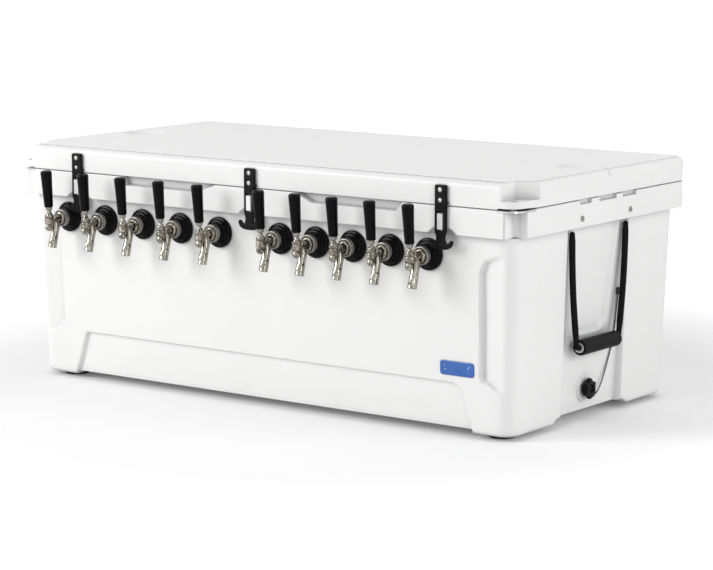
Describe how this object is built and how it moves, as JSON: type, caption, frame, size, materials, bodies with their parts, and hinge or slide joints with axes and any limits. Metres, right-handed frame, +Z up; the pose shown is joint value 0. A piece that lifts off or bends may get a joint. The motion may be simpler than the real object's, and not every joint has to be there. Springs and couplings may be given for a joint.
{
  "type": "jockey box beer cooler",
  "caption": "Insulated chest cooler with a row of beer taps, cold plates inside, hinged lid with rubber latches, rope handles and a drain.",
  "frame": {"origin": "centre of the whole part's box, on the floor under the feet", "axes": "+X along the chest towards the drain end, +Y from the taps to the hinges, +Z up"},
  "size_m": [1.124, 0.6462, 0.445],
  "materials": {
    "white_plastic": "rotomoulded, faint orange-peel texture, satin",
    "foam": "rigid insulating foam",
    "black_rubber": "moulded rubber, soft sheen",
    "black_rope": "braided rope",
    "grip_tube": "grey tube",
    "steel": "zinc and stainless hardware",
    "chrome": "bright chrome plate",
    "black_plastic": "polished black plastic",
    "blue_badge": "plain blue badge",
    "cast_aluminium": "cast, satin",
    "stainless_tube": "drawn stainless tube",
    "brass": "machined"
  },
  "bodies": {
    "cooler": {"body_shell": "white_plastic", "body_foam": "foam", "rubber_feet": "black_rubber", "body_screws": "steel", "corner_plates": "steel", "drain_fitting": "white_plastic", "drain_nut": "white_plastic", "drain_gasket": "black_rubber", "drain_chain": "steel", "front_badge": "blue_badge", "rope_ends": "black_rope", "shanks": "chrome", "shank_flanges": "black_plastic", "shank_nuts": "chrome", "coupling_nuts": "chrome", "faucet_bodies": "chrome", "faucet_bonnets": "chrome", "cold_plates": "cast_aluminium", "beer_lines": "stainless_tube", "line_nuts": "brass", "inlet_shanks": "chrome", "inlet_flanges": "black_plastic", "body_hinge_leaves": "steel", "hinge_pins": "steel"},
    "lid": {"lid_shell": "white_plastic", "lid_foam": "foam", "lid_gasket": "black_rubber", "lid_hinge_leaves": "steel", "lid_screws": "steel", "latch_anchors": "black_rubber"},
    "left_latch": {"latch_left": "black_rubber"},
    "centre_latch": {"latch_centre": "black_rubber"},
    "right_latch": {"latch_right": "black_rubber"},
    "right_handle": {"rope_right": "black_rope", "grip_right": "black_rubber", "grip_tubes_right": "grip_tube"},
    "left_handle": {"rope_left": "black_rope", "grip_left": "black_rubber", "grip_tubes_left": "grip_tube"},
    "plug": {"drain_plug": "black_plastic"},
    "tap_1": {"tap_lever_1": "chrome", "tap_handle_1": "black_plastic"},
    "tap_2": {"tap_lever_2": "chrome", "tap_handle_2": "black_plastic"},
    "tap_3": {"tap_lever_3": "chrome", "tap_handle_3": "black_plastic"},
    "tap_4": {"tap_lever_4": "chrome", "tap_handle_4": "black_plastic"},
    "tap_5": {"tap_lever_5": "chrome", "tap_handle_5": "black_plastic"},
    "tap_6": {"tap_lever_6": "chrome", "tap_handle_6": "black_plastic"},
    "tap_7": {"tap_lever_7": "chrome", "tap_handle_7": "black_plastic"},
    "tap_8": {"tap_lever_8": "chrome", "tap_handle_8": "black_plastic"},
    "tap_9": {"tap_lever_9": "chrome", "tap_handle_9": "black_plastic"},
    "tap_10": {"tap_lever_10": "chrome", "tap_handle_10": "black_plastic"}
  },
  "joints": [
    {"name": "lid_hinge", "type": "hinge", "parent": "cooler", "child": "lid", "pos_m": [0, 0.31606, 0.398], "axis": [-1, 0, 0], "range_deg": [0, 95]},
    {"name": "latch_left_swing", "type": "hinge", "parent": "lid", "child": "left_latch", "pos_m": [-0.41104, -0.26834, 0.398], "axis": [-1, 0, 0], "range_deg": [0, 100], "deforming": ["latch_left"]},
    {"name": "latch_centre_swing", "type": "hinge", "parent": "lid", "child": "centre_latch", "pos_m": [0, -0.26834, 0.398], "axis": [-1, 0, 0], "range_deg": [0, 100], "deforming": ["latch_centre"]},
    {"name": "latch_right_swing", "type": "hinge", "parent": "lid", "child": "right_latch", "pos_m": [0.41104, -0.26834, 0.398], "axis": [-1, 0, 0], "range_deg": [0, 100], "deforming": ["latch_right"]},
    {"name": "handle_right_swing", "type": "hinge", "parent": "cooler", "child": "right_handle", "pos_m": [0.546, 0.02106, 0.3437], "axis": [0, -1, 0], "range_deg": [0, 90]},
    {"name": "handle_left_swing", "type": "hinge", "parent": "cooler", "child": "left_handle", "pos_m": [-0.546, 0.02106, 0.3437], "axis": [0, 1, 0], "range_deg": [0, 90]},
    {"name": "drain_plug_turn", "type": "hinge", "parent": "cooler", "child": "plug", "pos_m": [0.52434, 0.01606, 0.055], "axis": [1, 0, 0], "range_deg": [0, 270]},
    {"name": "tap_1_lever", "type": "hinge", "parent": "cooler", "child": "tap_1", "pos_m": [-0.4489, -0.30559, 0.322], "axis": [1, 0, 0], "range_deg": [0, 45]},
    {"name": "tap_2_lever", "type": "hinge", "parent": "cooler", "child": "tap_2", "pos_m": [-0.35795, -0.30559, 0.322], "axis": [1, 0, 0], "range_deg": [0, 45]},
    {"name": "tap_3_lever", "type": "hinge", "parent": "cooler", "child": "tap_3", "pos_m": [-0.26701, -0.30559, 0.322], "axis": [1, 0, 0], "range_deg": [0, 45]},
    {"name": "tap_4_lever", "type": "hinge", "parent": "cooler", "child": "tap_4", "pos_m": [-0.17606, -0.30559, 0.322], "axis": [1, 0, 0], "range_deg": [0, 45]},
    {"name": "tap_5_lever", "type": "hinge", "parent": "cooler", "child": "tap_5", "pos_m": [-0.08512, -0.30559, 0.322], "axis": [1, 0, 0], "range_deg": [0, 45]},
    {"name": "tap_6_lever", "type": "hinge", "parent": "cooler", "child": "tap_6", "pos_m": [0.05398, -0.30559, 0.322], "axis": [1, 0, 0], "range_deg": [0, 45]},
    {"name": "tap_7_lever", "type": "hinge", "parent": "cooler", "child": "tap_7", "pos_m": [0.13395, -0.30559, 0.322], "axis": [1, 0, 0], "range_deg": [0, 45]},
    {"name": "tap_8_lever", "type": "hinge", "parent": "cooler", "child": "tap_8", "pos_m": [0.21392, -0.30559, 0.322], "axis": [1, 0, 0], "range_deg": [0, 45]},
    {"name": "tap_9_lever", "type": "hinge", "parent": "cooler", "child": "tap_9", "pos_m": [0.29389, -0.30559, 0.322], "axis": [1, 0, 0], "range_deg": [0, 45]},
    {"name": "tap_10_lever", "type": "hinge", "parent": "cooler", "child": "tap_10", "pos_m": [0.37386, -0.30559, 0.322], "axis": [1, 0, 0], "range_deg": [0, 45]}
  ]
}
